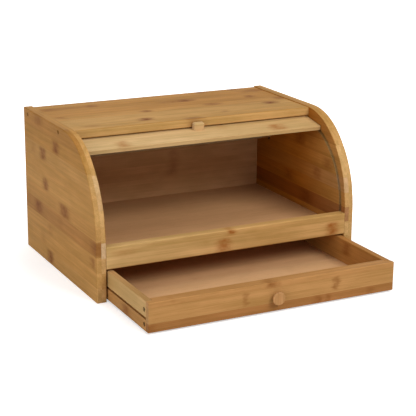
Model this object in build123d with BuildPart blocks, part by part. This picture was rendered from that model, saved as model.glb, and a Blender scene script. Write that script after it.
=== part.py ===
from build123d import *
from math import asin, atan, atan2, cos, degrees, hypot, radians, sin
import os

# Bread box with a roll-top front and a drawer below, in laminated bamboo.
# Millimetres. X runs across the width, Y from the front to the back, Z up from the table.
# At rest the roll-top is open and the drawer stands part way out.

# ---- cabinet ----
width = 400.0             # over both side panels
depth = 280.0             # side panels, front to back
height = 213.0            # side panels
panel_thickness = 14.0
nose_depth = 116.0        # the rounded front of the side panels, two arcs that meet smoothly
nose_height = 131.0
nose_front_radius = 140.0
arris = 1.5               # rounding of the handled edges

top_thickness = 12.0
top_front = 109.0         # front edge of the top panel, behind the cabinet's front
top_drop = 1.5            # the side panels stand this much proud of the top
top_screw_setback = (26.5, 18.0)   # from the top panel's front and back edges

back_thickness = 14.0
back_inset = 2.0
back_lift = 3.0           # under the back panel
housing = 3.0             # depth of the housings that hold boards in the side panels

rail_thickness = 14.0
rail_gap = 2.5            # under the rail, over the drawer
rail_height = 31.0
floor_thickness = 8.0
floor_lift = 1.5          # underside of the floor above the rail's bottom edge
floor_tongue = 5.0        # floor edge let into the rail

fit = 0.1                 # gap of housed and glued joints

# ---- roll-top ----
curtain_radius = 117.5    # outer face of the slats, about the axis of the guide grooves
slat_thickness = 5.0
slat_width = 10.0
slat_gap = 0.25
slat_count = 12
slat_round = 1.4
guide_depth = 6.0         # guide grooves in the side panels
guide_fit = 0.5           # running gap of the slats in the grooves
guide_setback = 10.0      # front wall of the grooves behind the cabinet's front
guide_end_gap = 1.0       # from the slat ends to the bottom of the grooves
guide_run_out = 6.0       # degrees, grooves on past the shut roll-top, behind the rail
guide_end_turn = 1.5      # degrees, grooves past the last slat
under_top_gap = 1.1       # wood left between the grooves and the top panel's underside

bar_angle = 80.0          # where the lead bar lies on the curve, up from the front
bar_front = 36.0          # lead bar, ahead of and behind that place
bar_back = 9.0
bar_thickness = 6.0
bar_nose = 1.2
bar_arris = 0.8
bar_end_gap = 1.2         # from the lead bar's ends to the side panels
tongue_front = 22.0       # the tongues that run in the grooves
rest_gap = 0.5            # above the rail when the roll-top is shut

grip_width = 16.0
grip_length = 8.6
grip_height = 10.5
grip_round = 2.0
stop_gap = 0.3            # grip to top panel when the roll-top is open

canvas_thickness = 0.6
canvas_width = 340.0
canvas_end_margin = 0.5   # degrees, canvas short of the curtain's end and of the lead bar's middle

# ---- drawer ----
drawer_pull = 130.5       # how far the drawer stands out
drawer_bottom_edge = 2.5
drawer_height = 40.5
drawer_side_gap = 2.0
drawer_front_thickness = 17.0
drawer_lip = 8.0          # the front covers the sides' ends this thick
drawer_board = 9.2        # sides and back
drawer_back_gap = 4.0     # behind the shut drawer
drawer_arris = 1.2
tray_thickness = 3.0
tray_lift = 3.0           # underside of the tray board above the drawer's bottom edge
tray_groove = 4.0
drawer_rabbet = 2.5       # the sides' rear ends, for the back

runner_height = 2.8
runner_lift = 15.7        # above the drawer's bottom edge
runner_reach = 4.0        # into the drawer side
runner_end_gap = 8.0      # from the back panel
drawer_stop_gap = 0.3     # shut drawer's front to the runners' ends, which stop it
runner_seat = 0.3         # drawer side above the runner
runner_under = 0.3
runner_bed = 0.6          # beyond the runner's edge
runner_round = 2.0        # corners of the runners' ends

knob_radius = 9.0
knob_neck = 5.5
knob_projection = 8.0
knob_rim = 3.6            # thickness of the knob's disc at its edge
knob_flare = 1.5          # the disc's edge is rounded this much
knob_lift = 19.0          # the knob's middle above the drawer's bottom edge

# ---- fasteners ----
screw_radius = 1.8
screw_head_radius = 3.2
screw_head_length = 2.4
screw_hole_gap = 0.1
cabinet_screw_length = 38.0
cabinet_screw_sink = 2.5
drawer_screw_length = 28.0
drawer_screw_sink = 1.2
drawer_screw_lifts = (8.0, 28.0)   # above the drawer's bottom edge
drawer_screw_setback = 13.5        # behind the drawer's face
knob_screw_grip = 5.5     # length of screw in the knob
grip_screw_length = 12.0
tray_screw_length = 12.0
tray_screw_places = (-120.0, 0.0, 120.0)
small_screw_radius = 1.3
small_head_radius = 2.6
small_head_length = 1.4
dowel_radius = 3.0
dowel_length = 24.0
dowel_in_panel = 10.0
dowel_heights = (14.5, 24.5)   # above the rail's bottom edge

# ---- places that follow from the sizes ----
front = (drawer_pull + knob_projection - depth) / 2    # cabinet front; the whole is centred on Y = 0
back = front + depth
inner = width / 2 - panel_thickness                    # side panel's inner face
nose_top_radius = (
    (nose_depth**2 + nose_height**2 - 2 * nose_front_radius * nose_depth)
    / (2 * (nose_height - nose_front_radius))
)
nose_turn = degrees(atan2(nose_height - nose_top_radius, nose_front_radius - nose_depth))
top_face = height - top_drop
top_under = top_face - top_thickness
back_face = back - back_inset - back_thickness         # inner face of the back panel
drawer_top = drawer_bottom_edge + drawer_height
rail_bottom = drawer_top + rail_gap
rail_top = rail_bottom + rail_height
floor_under = rail_bottom + floor_lift
floor_top = floor_under + floor_thickness

groove_radius = curtain_radius + guide_fit
groove_width = slat_thickness + 2 * guide_fit
slat_inside = curtain_radius - slat_thickness
axis_y = front + guide_setback + groove_radius         # axis that the roll-top turns about
axis_z = top_under - under_top_gap - groove_radius
slat_half_length = inner + guide_depth - guide_end_gap
slat_pitch = degrees((slat_width + slat_gap) / slat_inside)
first_slat = bar_angle + degrees(atan((bar_back + slat_gap) / slat_inside)) + slat_pitch / 2
curtain_end = first_slat + (slat_count - 0.5) * slat_pitch

bar_edge_angle = bar_angle - degrees(atan(bar_front / slat_inside))
bar_edge_radius = hypot(bar_front, slat_inside)
shut_angle = degrees(asin((rail_top + rest_gap - axis_z) / bar_edge_radius))
roll_travel = bar_edge_angle - shut_angle              # degrees from open to shut
guide_start = shut_angle - guide_run_out
guide_end = curtain_end + guide_end_turn
bar_outside = slat_inside + bar_thickness

drawer_face = front - drawer_pull                      # front of the drawer where it stands
drawer_half = inner - drawer_side_gap
drawer_end = back_face - drawer_back_gap - drawer_pull
side_start = drawer_face + drawer_lip
tray_under = drawer_bottom_edge + tray_lift
tray_top = tray_under + tray_thickness
runner_bottom = drawer_bottom_edge + runner_lift
runner_start = front + drawer_lip + drawer_stop_gap
runner_middle = (runner_start + back_face - runner_end_gap) / 2
runner_length = back_face - runner_end_gap - runner_start
knob_z = drawer_bottom_edge + knob_lift
drawer_screw_spots = [
    (drawer_face + drawer_screw_setback, drawer_bottom_edge + lift) for lift in drawer_screw_lifts
]

print(f"roll-top axis: y {axis_y:.3f}, z {axis_z:.3f}; travel {roll_travel:.2f} degrees")
print(f"cabinet front y {front:.3f}; drawer face y {drawer_face:.3f}; drawer end y {drawer_end:.3f}")
print(f"curtain from {bar_edge_angle:.2f} to {curtain_end:.2f} degrees; shut from {shut_angle:.2f}")

os.makedirs("parts", exist_ok=True)


def save(builder, name):
    builder.part.label = name
    export_step(builder.part, f"parts/{name}.step")


def roll_plane(angle):
    """Section plane across the roll-top: x along the curve towards the back, y out from the axis."""
    turn = radians(angle)
    along = (0, sin(turn), cos(turn))
    return Plane(origin=(0, axis_y, axis_z), x_dir=along, z_dir=(1, 0, 0))


def side_plane(side, x, y, z):
    """Plane at a point of one side, x from the middle, facing out (side is -1 or 1)."""
    return Plane(origin=(side * x, y, z), x_dir=(0, side, 0), z_dir=(side, 0, 0))


def roll_point(along, out):
    """Point (y, z) of the lead bar's section, from its place on the curve."""
    turn = radians(bar_angle)
    return (
        axis_y + along * sin(turn) - out * cos(turn),
        axis_z + along * cos(turn) + out * sin(turn),
    )


def screw(at, radius, head_radius, head_length, length):
    """Pan-head screw: its head's top lies in the plane and its shank runs in behind."""
    with Locations(at):
        Cylinder(radius, length, align=(Align.CENTER, Align.CENTER, Align.MAX))
        Cylinder(head_radius, head_length, align=(Align.CENTER, Align.CENTER, Align.MAX))
        for turn in (0, 90):
            Box(
                1.5 * head_radius, 0.3 * head_radius, 0.5 * head_length, rotation=(0, 0, turn),
                align=(Align.CENTER, Align.CENTER, Align.MAX), mode=Mode.SUBTRACT,
            )


# ---- planes that the roll-top's and the drawer's screws share, each at its screw's head ----
stop_y = front + top_front - stop_gap
bar_turn = radians(bar_angle)
grip_back = (stop_y - axis_y) * sin(bar_turn) + (top_under - axis_z) * cos(bar_turn)
grip_screw_plane = Plane(
    origin=(0, *roll_point(grip_back - grip_length / 2, slat_inside)),
    z_dir=(0, cos(bar_turn), -sin(bar_turn)),
)
tray_screw_planes = [
    Plane(
        origin=(x, drawer_end - drawer_board / 2, tray_under - small_head_length),
        z_dir=(0, 0, -1),
    )
    for x in tray_screw_places
]
knob_screw_plane = Plane(
    origin=(0, drawer_face + drawer_front_thickness + screw_head_length, knob_z),
    z_dir=(0, 1, 0),
)

# ---- side panels: rounded nose, guide groove, housings, dowel and screw holes ----
dowel_spots = [(front + rail_thickness / 2, rail_bottom + z) for z in dowel_heights]
top_screw_spots = [
    (front + top_front + top_screw_setback[0], top_under + top_thickness / 2),
    (back - top_screw_setback[1], top_under + top_thickness / 2),
]

for side, name in ((-1, "side_panel_left"), (1, "side_panel_right")):
    with BuildPart() as side_panel:
        with BuildSketch(Plane.YZ.offset(side * inner)) as outline:
            with BuildLine():
                Line((front, 0), (front, height - nose_height))
                CenterArc(
                    (front + nose_front_radius, height - nose_height), nose_front_radius,
                    180 - nose_turn, nose_turn,
                )
                CenterArc(
                    (front + nose_depth, height - nose_top_radius), nose_top_radius,
                    90, 90 - nose_turn,
                )
                Line((front + nose_depth, height), (back, height))
                Line((back, height), (back, 0))
                Line((back, 0), (front, 0))
            make_face()
        extrude(amount=side * panel_thickness)
        rounded = side_panel.edges().filter_by(lambda e: e.center().Z > 1.0)
        fillet(rounded.filter_by(lambda e: e.bounding_box().size.X < 0.01), radius=arris)

        with BuildSketch(Plane.YZ.offset(side * inner)) as guide:
            with BuildLine(mode=Mode.PRIVATE) as guide_line:
                CenterArc(
                    (axis_y, axis_z), groove_radius - groove_width / 2,
                    180 - guide_end, guide_end - guide_start,
                )
            SlotArc(guide_line.edge(), groove_width)
        extrude(amount=side * guide_depth, mode=Mode.SUBTRACT)

        with BuildSketch(Plane.YZ.offset(side * inner)) as housings:
            floor_front = front + rail_thickness - floor_tongue
            with Locations(((floor_front + back_face) / 2, (floor_under + floor_top) / 2)):
                Rectangle(back_face - floor_front, floor_thickness + 2 * fit)
            with Locations((back_face + back_thickness / 2, (back_lift + top_under) / 2)):
                Rectangle(back_thickness + 2 * fit, top_under - back_lift)
            with Locations((runner_middle, runner_bottom + runner_height / 2)):
                Rectangle(runner_length + 2 * fit, runner_height + 2 * fit)
        extrude(amount=side * (housing + fit), mode=Mode.SUBTRACT)

        with BuildSketch(Plane.YZ.offset(side * inner)) as dowel_holes:
            with Locations(*dowel_spots):
                Circle(dowel_radius + fit)
        extrude(amount=side * (dowel_in_panel + fit), mode=Mode.SUBTRACT)

        with Locations(*[side_plane(side, width / 2, y, z) for y, z in top_screw_spots]):
            CounterBoreHole(
                screw_radius + screw_hole_gap, screw_head_radius + screw_hole_gap,
                cabinet_screw_sink + screw_head_length, panel_thickness,
            )
    save(side_panel, name)

# ---- top panel ----
with BuildPart() as top_panel:
    with BuildSketch(Plane.XY.offset(top_under)):
        with Locations((0, (front + top_front + back) / 2)):
            Rectangle(2 * inner, depth - top_front)
    extrude(amount=top_thickness)
    long_edges = top_panel.edges().filter_by(Axis.X)
    fillet(long_edges.group_by(Axis.Y)[0], radius=arris)
    fillet(long_edges.group_by(Axis.Y)[-1].sort_by(Axis.Z)[-1], radius=arris)
    for side in (-1, 1):
        with BuildSketch(Plane.YZ.offset(side * inner)):
            with Locations(*top_screw_spots):
                Circle(screw_radius + screw_hole_gap)
        pilot = cabinet_screw_length - (panel_thickness - cabinet_screw_sink - screw_head_length)
        extrude(amount=-side * (pilot + fit), mode=Mode.SUBTRACT)
save(top_panel, "top_panel")

# ---- back panel, housed in the side panels ----
with BuildPart() as back_panel:
    with BuildSketch(Plane.XY.offset(back_lift)):
        with Locations((0, back_face + back_thickness / 2)):
            Rectangle(2 * (inner + housing), back_thickness)
    extrude(amount=top_under - back_lift)
save(back_panel, "back_panel")

# ---- front rail, the sill of the bread compartment ----
with BuildPart() as front_rail:
    with BuildSketch(Plane.XY.offset(rail_bottom)):
        with Locations((0, front + rail_thickness / 2)):
            Rectangle(2 * inner, rail_thickness)
    extrude(amount=rail_height)
    fillet(front_rail.edges().filter_by(Axis.X), radius=arris)
    with BuildSketch(Plane.XZ.offset(-(front + rail_thickness))):
        with Locations((0, (floor_under + floor_top) / 2)):
            Rectangle(2 * inner, floor_thickness + 2 * fit)
    extrude(amount=floor_tongue + fit, mode=Mode.SUBTRACT)
    for side in (-1, 1):
        with BuildSketch(Plane.YZ.offset(side * inner)):
            with Locations(*dowel_spots):
                Circle(dowel_radius + fit)
        extrude(amount=-side * (dowel_length - dowel_in_panel + fit), mode=Mode.SUBTRACT)
save(front_rail, "front_rail")

with BuildPart() as rail_dowels:
    for side in (-1, 1):
        with BuildSketch(Plane.YZ.offset(side * (inner + dowel_in_panel))):
            with Locations(*dowel_spots):
                Circle(dowel_radius)
        extrude(amount=-side * dowel_length)
save(rail_dowels, "rail_dowels")

# ---- floor of the bread compartment, tongued into the rail and housed in the sides ----
with BuildPart() as compartment_floor:
    with BuildSketch(Plane.XY.offset(floor_under)):
        with Locations((0, (front + rail_thickness + back_face) / 2)):
            Rectangle(2 * (inner + housing), back_face - front - rail_thickness)
        with Locations((0, front + rail_thickness - floor_tongue / 2)):
            Rectangle(2 * (inner - fit), floor_tongue)
    extrude(amount=floor_thickness)
save(compartment_floor, "compartment_floor")

# ---- runners that carry the drawer ----
runner_half = inner - drawer_side_gap - runner_reach
for side, name in ((-1, "runner_left"), (1, "runner_right")):
    with BuildPart() as runner:
        with BuildSketch(Plane.YZ.offset(side * (inner + housing))):
            with Locations((runner_middle, runner_bottom + runner_height / 2)):
                Rectangle(runner_length, runner_height)
        extrude(amount=-side * (inner + housing - runner_half))
        inner_end = runner.faces().sort_by(Axis.X)[0 if side > 0 else -1]
        fillet(inner_end.edges().filter_by(Axis.Z), radius=runner_round)
    save(runner, name)

with BuildPart() as cabinet_screws:
    for side in (-1, 1):
        for y, z in top_screw_spots:
            at = side_plane(side, width / 2 - cabinet_screw_sink, y, z)
            screw(at, screw_radius, screw_head_radius, screw_head_length, cabinet_screw_length)
save(cabinet_screws, "cabinet_screws")

# ---- lead bar: a flat board whose tongues follow the guide grooves ----
with BuildPart() as lead_bar:
    with BuildSketch(roll_plane(bar_angle)):
        with Locations(((bar_back - bar_front) / 2, (slat_inside + bar_outside) / 2)):
            Rectangle(bar_front + bar_back, bar_thickness)
    extrude(amount=inner - bar_end_gap, both=True)
    long_edges = lead_bar.edges().filter_by(Axis.X).sort_by(Axis.Y)
    fillet(long_edges[:2].sort_by(Axis.Z)[-1], radius=bar_nose)
    fillet(lead_bar.edges().filter_by(Axis.X).sort_by(Axis.Y)[-2:], radius=bar_arris)
    with BuildSketch(roll_plane(bar_angle)):
        with Locations(((bar_back - tongue_front) / 2, (slat_inside + bar_outside) / 2)):
            Rectangle(tongue_front + bar_back, bar_thickness)
        Circle(curtain_radius, mode=Mode.INTERSECT)
    extrude(amount=slat_half_length, both=True)
    with Locations(grip_screw_plane):
        CounterBoreHole(
            small_screw_radius + screw_hole_gap, small_head_radius + screw_hole_gap,
            small_head_length, bar_thickness,
        )
save(lead_bar, "lead_bar")

# ---- grip: the block that pulls the roll-top and stops it at the top panel ----
with BuildPart() as grip:
    with BuildSketch(roll_plane(bar_angle)):
        with Locations((grip_back - grip_length / 2, bar_outside + grip_height / 2)):
            Rectangle(grip_length, grip_height)
    extrude(amount=grip_width / 2, both=True)
    seat = grip.faces().sort_by(Axis.Z)[0]
    fillet(grip.edges() - seat.edges(), radius=grip_round)
    with Locations(grip_screw_plane):
        Hole(small_screw_radius + screw_hole_gap, grip_screw_length + fit)
save(grip, "grip")

with BuildPart() as grip_screw:
    screw(
        grip_screw_plane, small_screw_radius, small_head_radius, small_head_length,
        grip_screw_length,
    )
save(grip_screw, "grip_screw")

# ---- slats, side by side round the curve, with their ends in the guide grooves ----
for number in range(slat_count):
    with BuildPart() as slat:
        with BuildSketch(roll_plane(first_slat + number * slat_pitch)):
            with Locations((0, (slat_inside + curtain_radius) / 2)):
                Rectangle(slat_width, slat_thickness)
        extrude(amount=slat_half_length, both=True)
        outer_edges = slat.edges().filter_by(Axis.X).sort_by(
            lambda edge: hypot(edge.center().Y - axis_y, edge.center().Z - axis_z)
        )[-2:]
        fillet(outer_edges, radius=slat_round)
    save(slat, f"slat_{number + 1:02d}")

# ---- canvas that joins the slats ----
with BuildPart() as canvas_backing:
    with BuildSketch(Plane.YZ):
        with BuildLine():
            canvas_turn = curtain_end - bar_angle - 2 * canvas_end_margin
            canvas_start = 180 - curtain_end + canvas_end_margin
            glued = CenterArc((axis_y, axis_z), slat_inside, canvas_start, canvas_turn)
            free = CenterArc(
                (axis_y, axis_z), slat_inside - canvas_thickness, canvas_start, canvas_turn
            )
            Line(glued @ 0, free @ 0)
            Line(glued @ 1, free @ 1)
        make_face()
    extrude(amount=canvas_width / 2, both=True)
save(canvas_backing, "canvas_backing")

# ---- drawer front: rabbeted ends cover the sides ----
with BuildPart() as drawer_front:
    with BuildSketch(Plane.XY.offset(drawer_bottom_edge)):
        with Locations((0, drawer_face + drawer_front_thickness / 2)):
            Rectangle(2 * drawer_half, drawer_front_thickness)
    extrude(amount=drawer_height)
    face_edges = drawer_front.faces().sort_by(Axis.Y)[0].edges()
    top_back = drawer_front.faces().sort_by(Axis.Z)[-1].edges().sort_by(Axis.Y)[-1]
    fillet(face_edges + [top_back], radius=drawer_arris)
    for side in (-1, 1):
        with BuildSketch(Plane.XY.offset(drawer_bottom_edge)):
            with Locations((side * (drawer_half - drawer_board / 2), side_start + drawer_board / 2)):
                Rectangle(drawer_board, drawer_board)
        extrude(amount=drawer_height, mode=Mode.SUBTRACT)
        with Locations(*[side_plane(side, drawer_half, y, z) for y, z in drawer_screw_spots]):
            Hole(screw_radius + screw_hole_gap, drawer_screw_sink + drawer_screw_length + fit)
    with BuildSketch(Plane.XZ.offset(-(drawer_face + drawer_front_thickness))):
        with Locations((0, (tray_under + tray_top) / 2)):
            Rectangle(2 * drawer_half, tray_thickness + 2 * fit)
    extrude(amount=tray_groove, mode=Mode.SUBTRACT)
    with Locations(knob_screw_plane):
        Hole(screw_radius + screw_hole_gap)
save(drawer_front, "drawer_front")

# ---- drawer sides: grooved for runner and tray board, rabbeted for the back ----
for side, name in ((-1, "drawer_side_left"), (1, "drawer_side_right")):
    with BuildPart() as drawer_side:
        with BuildSketch(Plane.YZ.offset(side * drawer_half)):
            with Locations(((side_start + drawer_end) / 2, drawer_bottom_edge + drawer_height / 2)):
                Rectangle(drawer_end - side_start, drawer_height)
        extrude(amount=-side * drawer_board)
        top_edges = drawer_side.faces().sort_by(Axis.Z)[-1].edges().filter_by(Axis.Y)
        fillet(top_edges, radius=drawer_arris)
        with BuildSketch(Plane.YZ.offset(side * drawer_half)):
            groove_low = runner_bottom - runner_under
            groove_high = runner_bottom + runner_height + runner_seat
            with Locations(((side_start + drawer_end) / 2, (groove_low + groove_high) / 2)):
                Rectangle(drawer_end - side_start, groove_high - groove_low)
        extrude(amount=-side * (runner_reach + runner_bed), mode=Mode.SUBTRACT)
        with BuildSketch(Plane.YZ.offset(side * (drawer_half - drawer_board))):
            with Locations(((side_start + drawer_end) / 2, (tray_under + tray_top) / 2)):
                Rectangle(drawer_end - side_start, tray_thickness + 2 * fit)
        extrude(amount=side * tray_groove, mode=Mode.SUBTRACT)
        with BuildSketch(Plane.XY.offset(tray_top)):
            with Locations((side * (drawer_half - drawer_board), drawer_end)):
                Rectangle(2 * (drawer_rabbet + fit), 2 * (drawer_board + fit))
        extrude(amount=drawer_top - tray_top, mode=Mode.SUBTRACT)
        with Locations(*[side_plane(side, drawer_half, y, z) for y, z in drawer_screw_spots]):
            CounterBoreHole(
                screw_radius + screw_hole_gap, screw_head_radius + screw_hole_gap,
                drawer_screw_sink + screw_head_length, drawer_board,
            )
    save(drawer_side, name)

# ---- drawer back, glued in the sides' rabbets and screwed to the tray board under it ----
with BuildPart() as drawer_back:
    with BuildSketch(Plane.XY.offset(tray_top)):
        with Locations((0, drawer_end - drawer_board / 2)):
            Rectangle(2 * (drawer_half - drawer_board + drawer_rabbet), drawer_board)
    extrude(amount=drawer_top - tray_top)
    fillet(drawer_back.faces().sort_by(Axis.Z)[-1].edges().filter_by(Axis.X), radius=drawer_arris)
    with Locations(*tray_screw_planes):
        Hole(small_screw_radius + screw_hole_gap, small_head_length + tray_screw_length + fit)
save(drawer_back, "drawer_back")

# ---- tray board, in grooves at the front and sides and under the back ----
with BuildPart() as drawer_bottom:
    tray_front = drawer_face + drawer_front_thickness - tray_groove + fit
    with BuildSketch(Plane.XY.offset(tray_under)):
        with Locations((0, (tray_front + drawer_end) / 2)):
            Rectangle(2 * (drawer_half - drawer_board + tray_groove - fit), drawer_end - tray_front)
    extrude(amount=tray_thickness)
    with Locations(*tray_screw_planes):
        Hole(small_screw_radius + screw_hole_gap)
save(drawer_bottom, "drawer_bottom")

with BuildPart() as drawer_bottom_screws:
    for at in tray_screw_planes:
        screw(
            at, small_screw_radius, small_head_radius, small_head_length,
            small_head_length + tray_screw_length,
        )
save(drawer_bottom_screws, "drawer_bottom_screws")

with BuildPart() as drawer_screws:
    for side in (-1, 1):
        for y, z in drawer_screw_spots:
            at = side_plane(side, drawer_half - drawer_screw_sink, y, z)
            screw(at, screw_radius, screw_head_radius, screw_head_length, drawer_screw_length)
save(drawer_screws, "drawer_screws")

# ---- turned knob and the screw that holds it from inside ----
with BuildPart() as drawer_knob:
    with BuildSketch(Plane(origin=(0, drawer_face, knob_z), x_dir=(1, 0, 0), z_dir=(0, 0, 1))):
        with BuildLine():
            rim_back = knob_projection - knob_rim
            face_radius = knob_radius - knob_flare
            Line((0, 0), (knob_neck, 0))
            Line((knob_neck, 0), (knob_neck, -rim_back))
            Line((knob_neck, -rim_back), (face_radius, -rim_back))
            ThreePointArc(
                (face_radius, -rim_back),
                (knob_radius, -(rim_back + knob_projection) / 2),
                (face_radius, -knob_projection),
            )
            Line((face_radius, -knob_projection), (0, -knob_projection))
            Line((0, -knob_projection), (0, 0))
        make_face()
    revolve(axis=Axis((0, drawer_face, knob_z), (0, 1, 0)))
    with Locations(Plane(origin=(0, drawer_face, knob_z), z_dir=(0, 1, 0))):
        Hole(screw_radius + screw_hole_gap, knob_screw_grip + fit)
save(drawer_knob, "drawer_knob")

with BuildPart() as knob_screw:
    screw(
        knob_screw_plane, screw_radius, screw_head_radius, screw_head_length,
        screw_head_length + drawer_front_thickness + knob_screw_grip,
    )
save(knob_screw, "knob_screw")
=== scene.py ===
import math

import bpy
from mathutils import Matrix, Vector


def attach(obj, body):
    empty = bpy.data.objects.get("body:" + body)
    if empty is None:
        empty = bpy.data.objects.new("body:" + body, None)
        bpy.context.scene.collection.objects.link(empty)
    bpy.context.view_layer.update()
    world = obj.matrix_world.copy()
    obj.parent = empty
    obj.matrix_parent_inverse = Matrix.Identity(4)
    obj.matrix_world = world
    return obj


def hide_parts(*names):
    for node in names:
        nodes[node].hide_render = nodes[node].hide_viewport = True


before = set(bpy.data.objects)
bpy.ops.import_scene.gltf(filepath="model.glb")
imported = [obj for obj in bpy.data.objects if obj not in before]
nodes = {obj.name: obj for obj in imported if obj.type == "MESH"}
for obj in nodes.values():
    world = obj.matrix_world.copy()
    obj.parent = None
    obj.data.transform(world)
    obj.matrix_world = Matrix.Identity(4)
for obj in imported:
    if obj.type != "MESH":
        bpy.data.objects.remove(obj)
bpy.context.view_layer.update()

slatNames = [f"slat_{number:02d}" for number in range(1, 13)]
curtainAxis = (0.05725, 0.0804)  # y and z of the line that the roll-top turns about
print("box loaded:", len(nodes), "pieces")


# small helpers for node trees

def addNode(tree, kind, inputs=None, **settings):
    made = tree.nodes.new(kind)
    for key, value in settings.items():
        setattr(made, key, value)
    for key, value in (inputs or {}).items():
        if isinstance(value, bpy.types.NodeSocket):
            tree.links.new(value, made.inputs[key])
        else:
            made.inputs[key].default_value = value
    return made


def calc(tree, operation, *values):
    return addNode(tree, "ShaderNodeMath", dict(enumerate(values)), operation=operation).outputs[0]


def smooth(tree, value, low, high, start=0.0, end=1.0):
    inputs = {0: value, 1: low, 2: high, 3: start, 4: end}
    made = addNode(tree, "ShaderNodeMapRange", inputs, interpolation_type="SMOOTHSTEP")
    return made.outputs[0]


def mixColour(tree, amount, first, second, blend="MIX"):
    made = addNode(tree, "ShaderNodeMix", data_type="RGBA", blend_type=blend, clamp_factor=True)
    for key, value in ((0, amount), (6, first), (7, second)):
        if isinstance(value, bpy.types.NodeSocket):
            tree.links.new(value, made.inputs[key])
        else:
            made.inputs[key].default_value = value
    return made.outputs[2]


def toVector(tree, x, y, z):
    return addNode(tree, "ShaderNodeCombineXYZ", {0: x, 1: y, 2: z}).outputs[0]


def stretched(tree, first, second, third, factors):
    parts = [calc(tree, "MULTIPLY", p, f) for p, f in zip((first, second, third), factors)]
    return toVector(tree, *parts)


def noiseAt(tree, vector, detail=3.0, scale=1.0):
    inputs = {"Vector": vector, "Scale": scale, "Detail": detail, "Roughness": 0.6}
    return addNode(tree, "ShaderNodeTexNoise", inputs).outputs[0]


def ink(red, green, blue):  # a colour as seen on screen, 0 to 255
    linear = [((c / 255 + 0.055) / 1.055) ** 2.4 if c > 10 else c / 255 / 12.92 for c in (red, green, blue)]
    return (*linear, 1.0)


def newMaterial(name, **fixed):
    material = bpy.data.materials.new(name)
    material.use_nodes = True
    tree = material.node_tree
    shader = tree.nodes["Principled BSDF"]
    for key, value in fixed.items():
        shader.inputs[key.replace("_", " ")].default_value = value
    return material, tree, shader


def tinted(tree, amount, colour, tint):
    deeper = mixColour(tree, 1.0, colour, tint, "MULTIPLY")
    return mixColour(tree, amount, colour, deeper)


def fromAxis(tree, place):  # how far ahead of the curtain's axis a point lies, and how far above it
    y, z = curtainAxis
    return calc(tree, "SUBTRACT", y, place["Y"]), calc(tree, "SUBTRACT", place["Z"], z)


def reachOf(tree, place):
    squares = [calc(tree, "MULTIPLY", side, side) for side in fromAxis(tree, place)]
    return calc(tree, "SQRT", calc(tree, "ADD", *squares))


def roundArc(tree, place, radius):  # the way along an arc about the curtain's axis
    ahead, above = fromAxis(tree, place)
    return calc(tree, "MULTIPLY", calc(tree, "ARCTAN2", above, ahead), radius)


def newPiece(name, points, faces, material, rounded=False, creaseAngle=None):
    mesh = bpy.data.meshes.new(name)
    mesh.from_pydata(points, [], faces)
    if rounded:
        mesh.polygons.foreach_set("use_smooth", [True] * len(mesh.polygons))
    if creaseAngle:
        mesh.set_sharp_from_angle(angle=math.radians(creaseAngle))
    mesh.materials.append(material)
    piece = bpy.data.objects.new(name, mesh)
    bpy.context.scene.collection.objects.link(piece)
    return piece


def paint(material, *names):
    for name in names:
        mesh = nodes[name].data
        mesh.materials.clear()
        mesh.materials.append(material)


# laminated bamboo: strips glued side by side, in plies, with a soft dark mark at each joint of the stem

bambooBase = {
    "stripWidth": 0.0213,
    "stripEdge": 0.0,      # where one strip meets the next
    "plyThickness": 0.0072,
    "plyEdge": 0.0,
    "shownPly": 0,
    "stagger": 0.37,       # how far each ply's strips lie over those of the next
    "arc": None,           # radius of a curved row of strips about the curtain's axis
    "seed": 1.0,
    "tones": ((176, 127, 66), (183, 135, 72), (192, 146, 84), (179, 131, 70)),
    "oddStrips": (),       # ply, strip, tone
    "mark": (122, 68, 26),
    "markSpacing": 0.23,
    "markLength": 0.016,
    "markStrength": 0.42,
    "marks": (),           # stem joints of the shown ply, mm: along, across, length, half width, strength
    "fibre": 0.15,
    "blotch": 0.08,
    "dash": 0.18,
    "glue": 0.16,
    "glueLine": 0.0005,
    "endTint": (0.98, 1.02, 1.15),
    "faceTint": None,      # axis, side and tint of the faces that look that way: painted shade on the side panels' inner faces, a paler front face on the top
    "shadeFadeAlong": None,      # along the grain, from where such painted shade is lightest, towards the open front, to where it is full
    "paintedLightAlong": None,    # from, to and tint of painted light along the grain: a paler tone at the first end, fading out by the last
    "groove": None,        # a routed groove: radius, half width, opening and bottom in x, and the tint of the painted shade inside it
    # edges: paler from wear and from a painted highlight on the arrises
    "wear": 0.16,
    "wearAndHighlightColour": (208, 172, 118),
    "wearAndHighlightReach": 0.0014,
    "roughness": 0.50,
    "relief": 0.00025,
}

grainScale = {  # waves per metre along the grain, across it and through the board
    "fine": (14.0, 950.0, 950.0),
    "broad": (6.0, 190.0, 190.0),
    "blotch": (13.0, 34.0, 34.0),
    "dash": (70.0, 1500.0, 1500.0),
    "speck": (60.0, 1300.0, 1300.0),
    "wobble": (60.0, 160.0, 60.0),
    "cloud": (110.0, 150.0, 60.0),
}
markShape = {
    "ragged": 0.016,       # how far a mark's ends wander
    "spread": 1.25,        # a known mark's soft ends, as a share of its length
    "depth": 1.6,          # its middle, as a share of its strength
    "fadeIn": 0.0050,      # across the strip, inside and past the half width
    "fadeOut": 0.0015,
}


def grainNoise(tree, kind, along, wide, deep, detail=3.0):
    return noiseAt(tree, stretched(tree, along, wide, deep, grainScale[kind]), detail=detail)


def stripPlaces(tree, look, wide, deep):  # the ply and the strip that a point lies in
    plies, strips = 1 / look["plyThickness"], 1 / look["stripWidth"]
    ply = calc(tree, "FLOOR", calc(tree, "MULTIPLY_ADD", deep, plies, -look["plyEdge"] * plies))
    place = calc(tree, "MULTIPLY_ADD", wide, strips, -look["stripEdge"] * strips)
    shift = calc(tree, "MULTIPLY_ADD", ply, look["stagger"], -look["shownPly"] * look["stagger"])
    place = calc(tree, "ADD", place, shift)
    strip = calc(tree, "FLOOR", place)
    edge = calc(tree, "ABSOLUTE", calc(tree, "SUBTRACT", calc(tree, "FRACT", place), 0.5))
    return ply, strip, edge


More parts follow.
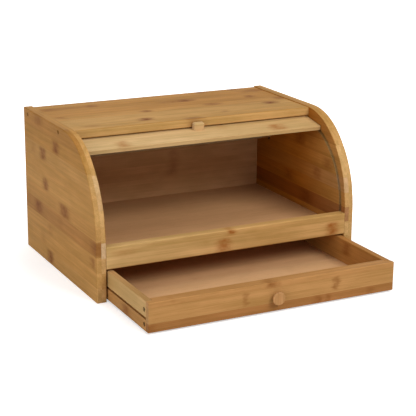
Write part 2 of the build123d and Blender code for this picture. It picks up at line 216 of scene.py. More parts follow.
def stripTones(tree, look, ply, strip, chance):
    ramp = addNode(tree, "ShaderNodeValToRGB", {0: chance})
    stops = ramp.color_ramp.elements
    for number, tone in enumerate(look["tones"]):
        stop = stops[number] if number < 2 else stops.new(1.0)
        stop.position = number / (len(look["tones"]) - 1)
        stop.color = ink(*tone)
    colour = ramp.outputs[0]
    for oddPly, oddStrip, tone in look["oddStrips"]:
        inPly = calc(tree, "COMPARE", ply, oddPly, 0.5)
        inStrip = calc(tree, "COMPARE", strip, oddStrip, 0.5)
        colour = mixColour(tree, calc(tree, "MULTIPLY", inPly, inStrip), colour, ink(*tone))
    return colour


def stemJoints(tree, look, along, wide, deep, ply, edge, luck):
    wobble = grainNoise(tree, "wobble", along, wide, deep)
    ragged = calc(tree, "MULTIPLY_ADD", calc(tree, "SUBTRACT", wobble, 0.5), markShape["ragged"], along)
    start = calc(tree, "MULTIPLY", luck[1], 7.0)
    turn = calc(tree, "FRACT", calc(tree, "MULTIPLY_ADD", ragged, 1 / look["markSpacing"], start))
    away = calc(tree, "ABSOLUTE", calc(tree, "SUBTRACT", turn, 0.5))
    away = calc(tree, "MULTIPLY", away, look["markSpacing"])
    mark = smooth(tree, away, 0.0, look["markLength"], look["markStrength"], 0.0)
    mark = calc(tree, "MULTIPLY", mark, smooth(tree, luck[2], 0.2, 0.9))
    mark = calc(tree, "MULTIPLY", mark, smooth(tree, edge, 0.40, 0.5, 1.0, 0.45))
    if look["marks"]:  # known places on the shown ply, and none at random there
        shown = calc(tree, "COMPARE", ply, look["shownPly"], 0.5)
        mark = calc(tree, "MULTIPLY", mark, calc(tree, "SUBTRACT", 1.0, shown))
        for alongAt, acrossAt, length, halfWidth, strength in look["marks"]:
            lengthwise = calc(tree, "ABSOLUTE", calc(tree, "SUBTRACT", ragged, alongAt / 1000))
            crosswise = calc(tree, "ABSOLUTE", calc(tree, "SUBTRACT", wide, acrossAt / 1000))
            reach, depth = markShape["spread"] * length / 1000, markShape["depth"] * strength
            inside = halfWidth / 1000 - markShape["fadeIn"]
            outside = halfWidth / 1000 + markShape["fadeOut"]
            spot = calc(tree, "MULTIPLY", smooth(tree, lengthwise, 0.0, reach, depth, 0.0),
                        smooth(tree, crosswise, inside, outside, 1.0, 0.0))
            mark = calc(tree, "MAXIMUM", mark, calc(tree, "MULTIPLY", spot, shown))
    cloud = grainNoise(tree, "cloud", along, wide, deep, 2.0)
    return calc(tree, "MULTIPLY", mark, smooth(tree, cloud, 0.3, 0.7, 1.2, 0.7))


def faceTintsAndGrooveShade(tree, look, colour, place, facing, along):  # a tint on the faces that look one way, which on the side panels is painted shade on their inner faces, and painted shade in the routed groove
    if look["faceTint"]:
        axis, side, tint = look["faceTint"]
        # painted shade on the side panels' inner faces, lighter towards the open front; on the top, a paler
        # front face
        turned = smooth(tree, calc(tree, "MULTIPLY", facing[axis], side), 0.7, 0.95)
        if look["shadeFadeAlong"]:
            turned = calc(tree, "MULTIPLY", turned, smooth(tree, along, *look["shadeFadeAlong"], 0.35, 1.0))
        colour = tinted(tree, turned, colour, (*tint, 1.0))
    # painted shade inside the routed groove of the side panels
    if look["groove"]:
        radius, halfWidth, opening, bottom, tint = look["groove"]
        sideways = calc(tree, "ABSOLUTE", place["X"])
        grooveShaded = calc(tree, "MULTIPLY", calc(tree, "COMPARE", reachOf(tree, place), radius, halfWidth),
                      calc(tree, "COMPARE", sideways, (opening + bottom) / 2, (bottom - opening) / 2))
        colour = tinted(tree, grooveShaded, colour, (*tint, 1.0))
    return colour


def bamboo(name, grain, across, through, **changes):
    look = {**bambooBase, **changes}
    material, tree, shader = newMaterial(name, IOR=1.45, Specular_IOR_Level=0.03)
    coords = addNode(tree, "ShaderNodeTexCoord")
    place = addNode(tree, "ShaderNodeSeparateXYZ", {0: coords.outputs["Object"]}).outputs
    facing = addNode(tree, "ShaderNodeSeparateXYZ", {0: coords.outputs["Normal"]}).outputs
    along, wide, deep = place[grain], place[across], place[through]
    if look["arc"]:
        wide, deep = roundArc(tree, place, look["arc"]), reachOf(tree, place)
    ply, strip, edge = stripPlaces(tree, look, wide, deep)
    chance = addNode(tree, "ShaderNodeTexWhiteNoise", {"Vector": toVector(tree, strip, ply, look["seed"])},
                     noise_dimensions="3D")
    luck = addNode(tree, "ShaderNodeSeparateXYZ", {0: chance.outputs["Color"]}).outputs

    colour = stripTones(tree, look, ply, strip, chance.outputs["Value"])
    # painted light: a paler tone towards one end of the grain, fading out along it
    if look["paintedLightAlong"]:
        first, last, tint = look["paintedLightAlong"]
        colour = tinted(tree, smooth(tree, along, first, last, 1.0, 0.0), colour, (*tint, 1.0))

    # fibres run along the strip and start afresh in each one, over slower changes of tone
    shifted = calc(tree, "MULTIPLY_ADD", luck[0], 9.0, along)
    fine = grainNoise(tree, "fine", shifted, wide, deep, 4.0)
    broad = grainNoise(tree, "broad", shifted, wide, deep)
    blotch = grainNoise(tree, "blotch", shifted, wide, deep, 2.0)
    grainTone = calc(tree, "MULTIPLY_ADD", fine, 0.4, calc(tree, "MULTIPLY", broad, 0.6))
    fibreLift = smooth(tree, grainTone, 0.3, 0.7, 1.0 - look["fibre"], 1.0 + look["fibre"])
    blotchLift = smooth(tree, blotch, 0.3, 0.7, 1.0 - look["blotch"], 1.0 + look["blotch"])
    lift = calc(tree, "MULTIPLY", fibreLift, blotchLift)
    warm = calc(tree, "MULTIPLY_ADD", calc(tree, "SUBTRACT", lift, 1.0), 1.5, 1.0)
    colour = mixColour(tree, 1.0, colour, toVector(tree, lift, lift, warm), "MULTIPLY")

    # short dark dashes of the vessel bundles, stem joints, and glue lines between strips
    dash = smooth(tree, grainNoise(tree, "dash", shifted, wide, deep, 1.0), 0.60, 0.72)
    joints = stemJoints(tree, look, along, wide, deep, ply, edge, luck)
    glue = smooth(tree, edge, 0.5 - look["glueLine"] / look["stripWidth"], 0.5)
    dashes, lines = calc(tree, "MULTIPLY", dash, look["dash"]), calc(tree, "MULTIPLY", glue, look["glue"])
    for amount in (dashes, joints, lines):
        colour = mixColour(tree, amount, colour, ink(*look["mark"]))

    # end grain, with the bundles seen as specks
    endOn = smooth(tree, calc(tree, "ABSOLUTE", facing[grain]), 0.35, 0.95)
    speck = grainNoise(tree, "speck", along, wide, deep, 1.0)
    speckTone = [smooth(tree, speck, 0.35, 0.65, share * 1.06, share * 0.94) for share in look["endTint"]]
    colour = tinted(tree, endOn, colour, toVector(tree, *speckTone))
    colour = faceTintsAndGrooveShade(tree, look, colour, place, facing, along)

    # edges are a little paler and smoother, partly from wear and partly a painted highlight on the arrises
    rounded = addNode(tree, "ShaderNodeBevel", {"Radius": look["wearAndHighlightReach"]}, samples=4).outputs[0]
    plain = addNode(tree, "ShaderNodeNewGeometry").outputs["Normal"]
    bend = addNode(tree, "ShaderNodeVectorMath", {0: rounded, 1: plain}, operation="DOT_PRODUCT")
    wearAndHighlight = smooth(tree, bend.outputs["Value"], 0.995, 0.80, 0.0, look["wear"])
    colour = mixColour(tree, wearAndHighlight, colour, ink(*look["wearAndHighlightColour"]))

    roughness = calc(tree, "MULTIPLY_ADD", grainTone, 0.16, look["roughness"] - 0.08)
    roughness = calc(tree, "SUBTRACT", roughness, calc(tree, "MULTIPLY", wearAndHighlight, 0.3))
    height = calc(tree, "SUBTRACT", fine, calc(tree, "MULTIPLY", dash, 0.5))
    height = calc(tree, "SUBTRACT", height, calc(tree, "MULTIPLY", glue, 0.6))
    bump = addNode(tree, "ShaderNodeBump", {"Strength": 0.25, "Distance": look["relief"], "Height": height})
    tree.links.new(colour, shader.inputs["Base Color"])
    tree.links.new(roughness, shader.inputs["Roughness"])
    tree.links.new(bump.outputs[0], shader.inputs["Normal"])
    return material


sideLook = {
    "plyEdge": 0.193,
    "stagger": 0.1,
    "endTint": (1.07, 1.18, 1.50),
    # painted shade on the inner faces, lighter towards the open front, and painted shade in the groove
    "insideShade": (0.68, 0.42, 0.15),
    "shadeFadeAlong": (-0.075, 0.075),
    # painted shade inside the groove
    "groove": (0.118, 0.0034, 0.1861, 0.1923, (0.22, 0.14, 0.07)),
    "seeds": (3.0, 8.0),
    "marksLeft": (   # y and z
        (147, 205, 22, 9, 0.28), (76, 181, 16, 10.5, 0.50), (130, 160, 16, 10.5, 0.50),
        (121, 117, 16, 10.5, 0.48), (47, 96, 24, 10.5, 0.52), (-68, 75, 22, 10.5, 0.40),
        (154, 75, 20, 10.5, 0.52), (-56, 53, 11, 9, 0.34), (107, 53, 14, 10, 0.14),
        (137, 32, 14, 10, 0.12), (108, 11, 17, 10.5, 0.50), (170, 160, 14, 9, 0.14),
        (64, 75, 12, 9, 0.12),
    ),
    "marksRight": (
        (38, 75, 22, 10.5, 0.38), (60, 160, 20, 10.5, 0.30), (-20, 138, 18, 10.5, 0.25),
        (8, 117, 14, 10.5, 0.22), (90, 96, 20, 10.5, 0.30),
    ),
    "oddLeft": ((-1, 3, (164, 114, 58)), (-1, 8, (172, 123, 60)), (-1, 9, (168, 118, 58)),
                (0, 3, (196, 156, 106)), (0, 6, (184, 140, 84)), (0, 7, (190, 148, 92))),
    "oddRight": ((-1, 3, (158, 108, 62)), (-1, 5, (188, 144, 92))),
}


def paintSides(look):
    shared = {key: look[key] for key in ("stagger", "endTint", "groove", "shadeFadeAlong")}
    leftSeed, rightSeed = look["seeds"]
    left = bamboo("bambooSideLeft", "Y", "Z", "X", seed=leftSeed, plyEdge=-look["plyEdge"], shownPly=-1,
                  marks=look["marksLeft"], oddStrips=look["oddLeft"],
                  faceTint=("X", 1.0, look["insideShade"]), **shared)
    right = bamboo("bambooSideRight", "Y", "Z", "X", seed=rightSeed, plyEdge=look["plyEdge"], shownPly=-1,
                   marks=look["marksRight"], oddStrips=look["oddRight"],
                   faceTint=("X", -1.0, look["insideShade"]), **shared)
    paint(left, "side_panel_left")
    paint(right, "side_panel_right")


paintSides(sideLook)

topLook = {
    "seed": 5.0, "plyThickness": 0.04, "plyEdge": 0.18, "stripEdge": 0.20925, "stagger": 0.0,
    "tones": ((173, 121, 58), (179, 128, 64), (187, 139, 75), (181, 131, 67)),
    "oddStrips": ((0, -6, (186, 141, 79)), (0, -7, (187, 142, 80)), (0, -8, (184, 138, 75))),
    # a paler front face, and painted light towards the left end
    "faceTint": ("Y", -1.0, (1.16, 1.40, 2.00)), "paintedLightAlong": (-0.19, 0.12, (1.04, 1.08, 1.18)),
    "marks": (   # x and y
        (-172, 178, 18, 10, 0.34), (-106, 178, 16, 10, 0.34), (-140, 178, 70, 10, 0.16),
        (38, 158, 20, 10, 0.52), (20, 158, 34, 10, 0.24), (89, 203, 14, 8, 0.34), (146, 203, 14, 8, 0.34),
        (174, 184, 34, 12, 0.30), (144, 145, 12, 10, 0.42), (67, 118, 20, 10, 0.40), (-174, 120, 12, 9, 0.28),
        (-46, 113, 11, 8, 0.44), (151, 93, 16, 10, 0.55), (182, 117, 14, 10, 0.40), (-68, 65, 15, 10.5, 0.55),
        (-154, 57, 16, 7, 0.20), (60, 67, 10, 8, 0.22), (-2, 44, 18, 8, 0.42), (110, 100, 60, 8, 0.10),
    ),
}
paint(bamboo("bambooTop", "X", "Y", "Z", **topLook), "top_panel")

railLook = {
    "seed": 17.0, "plyThickness": 0.2, "plyEdge": -0.15, "stripEdge": 0.0677, "stagger": 0.0,
    "tones": ((181, 137, 78), (187, 145, 87), (192, 150, 93)), "blotch": 0.09, "mark": (150, 84, 30),
    # painted light: paler towards the left end
    "paintedLightAlong": (-0.19, 0.08, (1.18, 1.30, 1.55)),
    "marks": (
        (0, 73, 9, 5, 0.55), (-11, 56, 14, 11, 0.45), (165, 56, 13, 11, 0.50), (-161, 66, 26, 6, 0.14),
    ),
}
paint(bamboo("bambooRail", "X", "Z", "Y", **railLook), "front_rail")

barLook = {
    "seed": 21.0, "plyThickness": 0.5, "plyEdge": -0.1, "stripWidth": 0.0225, "stripEdge": 0.0240,
    "stagger": 0.0,
    "tones": ((194, 156, 102), (201, 165, 112), (197, 160, 107)), "blotch": 0.07, "wear": 0.3,
    # painted light: paler towards the left end
    "mark": (160, 102, 50), "paintedLightAlong": (-0.17, 0.17, (1.15, 1.22, 1.38)),
    "marks": ((-125, 12, 13, 11.5, 0.34), (119, 14, 18, 11.5, 0.42), (40, 34, 12, 10, 0.12)),
}
paint(bamboo("bambooBar", "X", "Y", "Z", **barLook), "lead_bar")

gripLook = {
    "seed": 22.0, "stripWidth": 0.05, "plyThickness": 0.5, "stagger": 0.0, "markStrength": 0.0,
    "tones": ((204, 168, 118), (208, 172, 122)), "wear": 0.4,
}
paint(bamboo("bambooGrip", "X", "Y", "Z", **gripLook), "grip")

drawerLook = {
    "front": {
        "seed": 31.0, "plyThickness": 0.5, "plyEdge": -0.3, "stripEdge": 0.0143, "stagger": 0.0,
        "tones": ((174, 127, 75), (178, 131, 78)), "blotch": 0.06,
        "oddStrips": ((0, -1, (158, 108, 60)), (0, 0, (178, 131, 78)), (0, 1, (174, 126, 74))),
        "marks": ((-46, 26, 6, 11, 0.26), (-7, 40, 12, 5, 0.48), (91, 27, 7, 11, 0.34), (63, 8, 10, 7, 0.36),
                  (79, 8, 6, 7, 0.30), (-180, 8, 12, 7, 0.28), (146, 8, 8, 7, 0.18), (-150, 41, 6, 3, 0.2)),
    },
    "side": {
        "seed": 37.0, "plyThickness": 0.5, "plyEdge": -0.3, "stripEdge": 0.0196, "stripWidth": 0.0232,
        "stagger": 0.0, "tones": ((176, 132, 82), (182, 142, 92)),
        "oddStrips": ((0, 0, (194, 156, 102)), (0, -1, (178, 129, 74))),
        "marks": ((-131, 9, 17, 9, 0.40), (-40, 31, 14, 11, 0.35), (20, 9, 16, 9, 0.4)),
    },
    # painted shade: the right side, whose inner face is seen, in darker tones than the left
    "right": {
        "seed": 38.0, "tones": ((166, 114, 58), (172, 122, 66)), "oddStrips": (),
        "marks": ((-96, 31, 14, 11, 0.4),),
    },
    "back": {"seed": 41.0, "plyThickness": 0.5, "plyEdge": -0.3},
}
paint(bamboo("bambooDrawerFront", "X", "Z", "Y", **drawerLook["front"]), "drawer_front")
paint(bamboo("bambooDrawerSide", "Y", "Z", "X", **drawerLook["side"]), "drawer_side_left")
paint(bamboo("bambooDrawerSideRightShaded", "Y", "Z", "X", **{**drawerLook["side"], **drawerLook["right"]}),
      "drawer_side_right")
paint(bamboo("bambooDrawerBack", "X", "Z", "Y", **drawerLook["back"]), "drawer_back")

# smooth boards: almost no figure in the compartment floor and the drawer tray, a little in the back
boardLook = {
    "tones": ((198, 152, 106), (201, 155, 109)), "stripWidth": 0.033, "plyThickness": 0.5, "plyEdge": -0.3,
    "stagger": 0.0, "markStrength": 0.05, "fibre": 0.03, "blotch": 0.03, "glue": 0.06, "wear": 0.05,
    "roughness": 0.6,
}
backLook = {
    **boardLook, "stripWidth": 0.0213, "markStrength": 0.26, "fibre": 0.08, "blotch": 0.08, "glue": 0.12,
}
trayLook = {**boardLook, "tones": ((206, 161, 115), (208, 164, 118))}
paint(bamboo("boardBack", "X", "Z", "Y", seed=11.0, **backLook), "back_panel")
paint(bamboo("boardFloor", "X", "Y", "Z", seed=13.0, **boardLook), "compartment_floor")
paint(bamboo("boardTray", "X", "Y", "Z", seed=43.0, **trayLook), "drawer_bottom")

slatLook = {
    "arc": 0.1125, "stripWidth": 0.01025, "stripEdge": 0.16631, "plyThickness": 0.5,
    "stagger": 0.0, "glue": 0.0, "markSpacing": 0.29,
    "tones": ((176, 132, 82), (190, 148, 98), (184, 140, 88)),
}
paint(bamboo("bambooSlat", "X", "Y", "Z", seed=29.0, **slatLook), *slatNames)

smallLook = {
    "runner": {"seed": 23.0, "stripWidth": 0.05, "plyThickness": 0.5},
    "dowel": {"seed": 24.0, "stripWidth": 0.05, "plyThickness": 0.5, "markStrength": 0.0,
              "tones": ((200, 168, 120), (206, 174, 126))},
    "knob": {"seed": 47.0, "stripWidth": 0.004, "plyThickness": 0.5, "markStrength": 0.0, "glue": 0.25,
             "tones": ((172, 124, 76), (183, 137, 88), (177, 130, 82))},
}
paint(bamboo("bambooRunner", "Y", "Z", "X", **smallLook["runner"]), "runner_left", "runner_right")
paint(bamboo("beechDowel", "X", "Y", "Z", **smallLook["dowel"]), "rail_dowels")
paint(bamboo("bambooKnob", "Z", "X", "Y", **smallLook["knob"]), "drawer_knob")
print("bamboo materials made")


# darkened steel screws with a domed head, a cross recess and a thread

screwLook = {
    "colour": (92, 78, 66),
    "roughness": 0.42,
    "pitch": 0.0014,
    "ridge": 0.24,       # depth of the thread, as a share of the shank's radius
    "dome": 0.22,        # these three as shares of the head's length
    "edgeTop": 0.34,
    "crossDepth": 0.5,
    "domeReach": 0.96,   # and these as shares of its radius
    "crossWidth": 0.16,
    "crossReach": 0.68,
    "turned": 0.6,       # how the first cross stands, and each further one after it, in radians
    "turnedBy": 1.1,
    "large": {"shank": 0.0018, "head": 0.0032, "headLength": 0.0024},
    "small": {"shank": 0.0013, "head": 0.0026, "headLength": 0.0014},
    "rows": {  # size, length, body, then the top of each head and the way in
        "cabinet_screws": ("large", 0.038, "cabinet", [
            ((side * 0.1975, y, 0.2055), (-side, 0, 0)) for side in (-1, 1) for y in (0.06475, 0.19125)]),
        "drawer_screws": ("large", 0.028, "drawer", [
            ((side * 0.1828, -0.18775, z), (-side, 0, 0)) for side in (-1, 1) for z in (0.0105, 0.0305)]),
        "knob_screw": ("large", 0.0249, "drawer", [((0, -0.18185, 0.0215), (0, -1, 0))]),
        "drawer_bottom_screws": ("small", 0.0134, "drawer", [
            ((x, 0.05415, 0.0041), (0, 0, 1)) for x in (-0.12, 0, 0.12)]),
        "grip_screw": ("small", 0.012, "roll_top", [((0, 0.035129, 0.190734), (0, -0.17365, 0.98481))]),
    },
}


def screwSteel(look):
    material, tree, shader = newMaterial("screwSteel", Metallic=1.0)
    coords = addNode(tree, "ShaderNodeTexCoord").outputs["Object"]
    wear = noiseAt(tree, coords, detail=5.0, scale=900.0)
    cloud = noiseAt(tree, coords, detail=2.0, scale=180.0)
    dull = ink(*[c * 0.72 for c in look["colour"]])
    colour = mixColour(tree, smooth(tree, cloud, 0.35, 0.65), ink(*look["colour"]), dull)
    bump = addNode(tree, "ShaderNodeBump", {"Strength": 0.2, "Distance": 0.0001, "Height": wear})
    tree.links.new(colour, shader.inputs["Base Color"])
    tree.links.new(smooth(tree, wear, 0.3, 0.7, look["roughness"] - 0.08, look["roughness"] + 0.1),
                   shader.inputs["Roughness"])
    tree.links.new(bump.outputs[0], shader.inputs["Normal"])
    return material


def ringsToFaces(rings, around):
    faces = []
    for row in range(rings - 1):
        for spot in range(around):
            after = (spot + 1) % around
            low, high = row * around, (row + 1) * around
            faces.append((low + spot, high + spot, high + after, low + after))
    return faces


def ringAt(reach, z, around):
    turns = [2 * math.pi * spot / around for spot in range(around)]
    return [(reach * math.cos(turn), reach * math.sin(turn), z) for turn in turns]


def screwShape(look, size, length, around=32, domeRings=12, perTurn=5):
    shank, head, headLength = (look[size][key] for key in ("shank", "head", "headLength"))
    rows = []
    for step in range(domeRings):  # the domed top, from its middle out, with the cross pressed in
        reach = max(0.04, step / (domeRings - 1)) * head * look["domeReach"]
        ring = []
        for x, y, z in ringAt(reach, -look["dome"] * headLength * (reach / head) ** 2, around):
            narrow, far = min(abs(x), abs(y)), max(abs(x), abs(y))
            inCross = narrow < look["crossWidth"] * head and far < look["crossReach"] * head
            pressed = look["crossDepth"] * headLength * (1 - 0.5 * far / head) if inCross else 0
            ring.append((x, y, z - pressed))
        rows.append(ring)
    for reach, depth in ((1.0, look["edgeTop"]), (1.0, 1.0), (shank / head, 1.0)):
        rows.append(ringAt(reach * head, -depth * headLength, around))
    # the thread, a ridge that climbs round the shank to its point
    turns = (length - headLength) / look["pitch"]
    for step in range(1, int(turns * perTurn)):
        depth = headLength + step * look["pitch"] / perTurn
        taper = min(1.0, (length - depth) / (3 * shank))
        ring = []
        for spot in range(around):
            climb = (step / perTurn + spot / around) % 1.0
            reach = shank * (1.0 - look["ridge"] * abs(2 * climb - 1)) * taper
            turn = 2 * math.pi * spot / around
            ring.append((reach * math.cos(turn), reach * math.sin(turn), -depth))
        rows.append(ring)
    rows.append([(0.0, 0.0, -length)] * around)
    return [point for ring in rows for point in ring], ringsToFaces(len(rows), around)


def makeScrews(look):
    steel = screwSteel(look)
    for name, (size, length, body, spots) in look["rows"].items():
        shape, rings = screwShape(look, size, length)
        points, faces = [], []
        for number, (top, inward) in enumerate(spots):
            turn = (-Vector(inward)).to_track_quat("Z", "Y").to_matrix().to_4x4()
            spin = Matrix.Rotation(look["turned"] + look["turnedBy"] * number, 4, "Z")
            start = len(points)
            points += [Vector(top) + (turn @ spin @ Vector(p)) for p in shape]
            faces += [tuple(start + corner for corner in face) for face in rings]
        screws = newPiece(name + "_threaded", points, faces, steel, rounded=True, creaseAngle=38)
        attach(screws, body)
        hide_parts(name)


makeScrews(screwLook)
print("screws made")


# cotton canvas glued along the inside of the slats, hemmed and stitched across both ends

canvasLook = {
    "outside": 0.11246,          # radius of the glued side
    "cloth": 0.00030,
    "hem": 0.00052,              # thickness where it is turned over
    "hemWidth": 0.009,
    "from": 80.5, "to": 146.84,  # degrees up from the front
    "width": 0.34,
    "colour": (176, 152, 114),
    "slub": (192, 170, 132),
    "thread": (206, 186, 148),
    "yarn": 0.0007,
    "stitch": 0.0034,
    "seamAt": 0.7,               # how far in from the edge the stitches run, as a share of the hem
    "seamEnd": 0.004,            # cloth left free of them at each side
}


def canvasCloth(look):
    material, tree, shader = newMaterial("canvasCloth", Roughness=0.9, Sheen_Weight=0.15,
                                         Specular_IOR_Level=0.2)
    coords = addNode(tree, "ShaderNodeTexCoord").outputs["Object"]
    place = addNode(tree, "ShaderNodeSeparateXYZ", {0: coords}).outputs
    curved = roundArc(tree, place, look["outside"])
    yarns = 2 * math.pi / look["yarn"]
    warp = calc(tree, "SINE", calc(tree, "MULTIPLY", place["X"], yarns))
    weft = calc(tree, "SINE", calc(tree, "MULTIPLY", curved, yarns))
    over = calc(tree, "GREATER_THAN", calc(tree, "MULTIPLY", warp, weft), 0.0)
    weave = calc(tree, "MAXIMUM", calc(tree, "ABSOLUTE", warp), calc(tree, "ABSOLUTE", weft))
    weave = calc(tree, "MULTIPLY_ADD", over, 0.25, weave)
    slub = noiseAt(tree, stretched(tree, place["X"], curved, 0.0, (40.0, 900.0, 0.0)), detail=2.0)
    soil = noiseAt(tree, coords, detail=4.0, scale=14.0)
    light, dark = ink(*look["colour"]), ink(*[c * 0.86 for c in look["colour"]])
    colour = mixColour(tree, smooth(tree, weave, 0.6, 1.2), dark, light)
    colour = mixColour(tree, smooth(tree, slub, 0.45, 0.7, 0.0, 0.35), colour, ink(*look["slub"]))
    colour = mixColour(tree, smooth(tree, soil, 0.45, 0.75, 0.0, 0.3), colour, dark)
    bump = addNode(tree, "ShaderNodeBump", {"Strength": 0.5, "Distance": 0.0002, "Height": weave})
    tree.links.new(colour, shader.inputs["Base Color"])
    tree.links.new(bump.outputs[0], shader.inputs["Normal"])
    return material


def stitchCotton(look):
    material, tree, shader = newMaterial("stitchCotton", Sheen_Weight=0.2)
    coords = addNode(tree, "ShaderNodeTexCoord").outputs["Object"]
    twist = noiseAt(tree, coords, detail=3.0, scale=2600.0)
    dark = ink(*[c * 0.82 for c in look["thread"]])
    tree.links.new(mixColour(tree, smooth(tree, twist, 0.35, 0.65), dark, ink(*look["thread"])),
                   shader.inputs["Base Color"])
    tree.links.new(smooth(tree, twist, 0.3, 0.7, 0.7, 0.95), shader.inputs["Roughness"])
    bump = addNode(tree, "ShaderNodeBump", {"Strength": 0.4, "Distance": 0.0001, "Height": twist})
    tree.links.new(bump.outputs[0], shader.inputs["Normal"])
    return material


def onCurve(angle, radius):
    y, z = curtainAxis
    turn = math.radians(angle)
    return y - radius * math.cos(turn), z + radius * math.sin(turn)


def makeCanvas(look, steps=120, columns=34):
    points = []
    span = math.radians(look["to"] - look["from"]) * look["outside"]
    for side in (0, 1):  # the glued side, then the free one
        for step in range(steps + 1):
            part = step / steps
            hemmed = min(part, 1 - part) * span < look["hemWidth"]
            thick = look["hem"] if hemmed else look["cloth"]
            angle = look["from"] + part * (look["to"] - look["from"])
            y, z = onCurve(angle, look["outside"] - side * thick)
            for column in range(columns + 1):
                points.append(((column / columns - 0.5) * look["width"], y, z))
    row, layer = columns + 1, (steps + 1) * (columns + 1)
    faces = []
    for step in range(steps):
        for column in range(columns):
            first = step * row + column
            faces.append((first, first + row, first + row + 1, first + 1))
            first += layer
            faces.append((first, first + 1, first + row + 1, first + row))
        for edge, turned in ((0, True), (columns, False)):
            first = step * row + edge
            rim = (first, first + layer, first + layer + row, first + row)
            faces.append(rim if turned else rim[::-1])
    for column in range(columns):
        for first, turned in ((column, False), (steps * row + column, True)):
            rim = (first, first + layer, first + layer + 1, first + 1)
            faces.append(rim[::-1] if turned else rim)
    canvas = newPiece("canvas", points, faces, canvasCloth(look), rounded=True, creaseAngle=35)
    stitches = makeStitches(look)
    for piece in (canvas, stitches):
        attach(piece, "roll_top")
    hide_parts("canvas_backing")


# share of a stitch's length from its middle, radius of the thread there, and how deep in the cloth it lies
stitchRings = (
    (-0.40, 0.00005, 0.00017),
    (-0.28, 0.00012, -0.00003),
    (0.28, 0.00012, -0.00003),
    (0.40, 0.00005, 0.00017),
)


def makeStitches(look, around=6):
    points, faces = [], []
    radius = look["outside"] - look["hem"]
    inset = math.degrees(look["seamAt"] * look["hemWidth"] / radius)
    count = int((look["width"] - 2 * look["seamEnd"]) / look["stitch"])
    for angle in (look["from"] + inset, look["to"] - inset):
        y, z = onCurve(angle, radius)
        lift = math.radians(angle)
        outward = Vector((0, -math.cos(lift), math.sin(lift)))
        across = Vector((0, math.sin(lift), math.cos(lift)))
        for number in range(count):
            middle = (number - (count - 1) / 2) * look["stitch"]
            start = len(points)
            for part, thick, sink in stitchRings:
                core = Vector((middle + part * look["stitch"], y, z)) + outward * sink
                for spot in range(around):
                    turn = 2 * math.pi * spot / around
                    points.append(core + thick * (math.cos(turn) * outward + math.sin(turn) * across))
            rings = len(stitchRings)
            faces += [tuple(start + corner for corner in face) for face in ringsToFaces(rings, around)]
            faces += [tuple(start + spot for spot in range(around)),
                      tuple(start + (rings - 1) * around + spot for spot in reversed(range(around)))]
    return newPiece("canvasStitches", points, faces, stitchCotton(look), rounded=True)


makeCanvas(canvasLook)
print("canvas made")


# floor, light and camera

floorLook = {
    "size": 12.0,
    "colour": (238, 238, 238),
    "fleck": (228, 228, 228),
    "glow": 0.52,                        # added under the box, so that only a soft shadow is left
    "whiteFrom": 0.24, "whiteBy": 0.42,  # from the middle, where it turns to plain white
}


def seenPlainly(tree):  # 1 for rays that show the background itself
    path = addNode(tree, "ShaderNodeLightPath").outputs
    mirrored = calc(tree, "MAXIMUM", path["Is Glossy Ray"], path["Is Transmission Ray"])
    return calc(tree, "MAXIMUM", path["Is Camera Ray"], mirrored)


def makeFloor(look):
    half = look["size"] / 2
    corners = [(-half, -half, 0), (half, -half, 0), (half, half, 0), (-half, half, 0)]
    material, tree, shader = newMaterial("floorPaper", Roughness=0.9)
    coords = addNode(tree, "ShaderNodeTexCoord").outputs["Object"]
    fleck = noiseAt(tree, coords, detail=3.0, scale=40.0)
    share = smooth(tree, fleck, 0.3, 0.7, 0.0, 0.04)
    colour = mixColour(tree, share, ink(*look["colour"]), ink(*look["fleck"]))
    tree.links.new(colour, shader.inputs["Base Color"])
    reach = addNode(tree, "ShaderNodeVectorMath", {0: coords}, operation="LENGTH").outputs["Value"]
    glow = smooth(tree, reach, look["whiteFrom"], look["whiteBy"], look["glow"], 1.0)
    lamp = addNode(tree, "ShaderNodeEmission", {"Color": (1, 1, 1, 1)})
    tree.links.new(calc(tree, "MULTIPLY", seenPlainly(tree), glow), lamp.inputs["Strength"])
    both = addNode(tree, "ShaderNodeAddShader", {0: shader.outputs[0], 1: lamp.outputs[0]})
    tree.links.new(both.outputs[0], tree.nodes["Material Output"].inputs["Surface"])
    floor = newPiece("floor", corners, [(0, 1, 2, 3)], material)


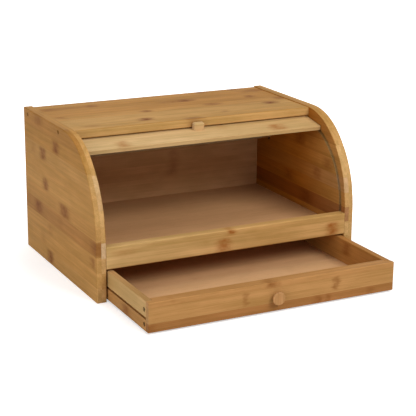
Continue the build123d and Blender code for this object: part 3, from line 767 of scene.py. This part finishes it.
lightLook = {
    "sky": 0.30,
    "lamps": {
        "keySoftbox": {"place": (0.7, -1.7, 1.6), "aim": (0, 0, 0.08), "size": 1.1, "watts": 31.0},
        "topSoftbox": {"place": (-0.2, 0.1, 2.3), "aim": (0, 0, 0.1), "size": 1.6, "watts": 13.0},
        "leftSoftbox": {"place": (-2.0, -0.9, 0.6), "aim": (0, 0, 0.1), "size": 1.3, "watts": 15.0},
    },
}


def makeLight(look):
    world = bpy.data.worlds.new("studio")
    bpy.context.scene.world = world
    world.use_nodes = True
    tree = world.node_tree
    strength = addNode(tree, "ShaderNodeMapRange", {0: seenPlainly(tree), 3: look["sky"], 4: 1.0}).outputs[0]
    sky = tree.nodes["Background"]
    sky.inputs["Color"].default_value = (1, 1, 1, 1)
    tree.links.new(strength, sky.inputs["Strength"])
    for name, lamp in look["lamps"].items():
        light = bpy.data.objects.new(name, bpy.data.lights.new(name, "AREA"))
        bpy.context.scene.collection.objects.link(light)
        light.data.size = lamp["size"]
        light.data.energy = lamp["watts"]
        light.location = lamp["place"]
        toward = Vector(lamp["aim"]) - Vector(lamp["place"])
        light.rotation_euler = toward.to_track_quat("-Z", "Y").to_euler()


cameraLook = {
    "place": (-0.7916, -1.55765, 0.6108),
    "yaw": 26.94, "pitch": 16.633, "roll": 0.557,
    "lens": 110.53, "sensor": 36.0,
}


def makeCamera(look):
    camera = bpy.data.objects.new("boxCamera", bpy.data.cameras.new("boxCamera"))
    bpy.context.scene.collection.objects.link(camera)
    camera.data.lens = look["lens"]
    camera.data.sensor_width = look["sensor"]
    camera.data.clip_end = 50.0
    turn = (Matrix.Rotation(-math.radians(look["yaw"]), 4, "Z")
            @ Matrix.Rotation(math.radians(90 - look["pitch"]), 4, "X")
            @ Matrix.Rotation(math.radians(look["roll"]), 4, "Z"))
    camera.matrix_world = Matrix.Translation(look["place"]) @ turn
    bpy.context.scene.camera = camera


makeFloor(floorLook)
makeLight(lightLook)
makeCamera(cameraLook)
bpy.context.scene.view_settings.view_transform = "Standard"
print("floor, light and camera made")
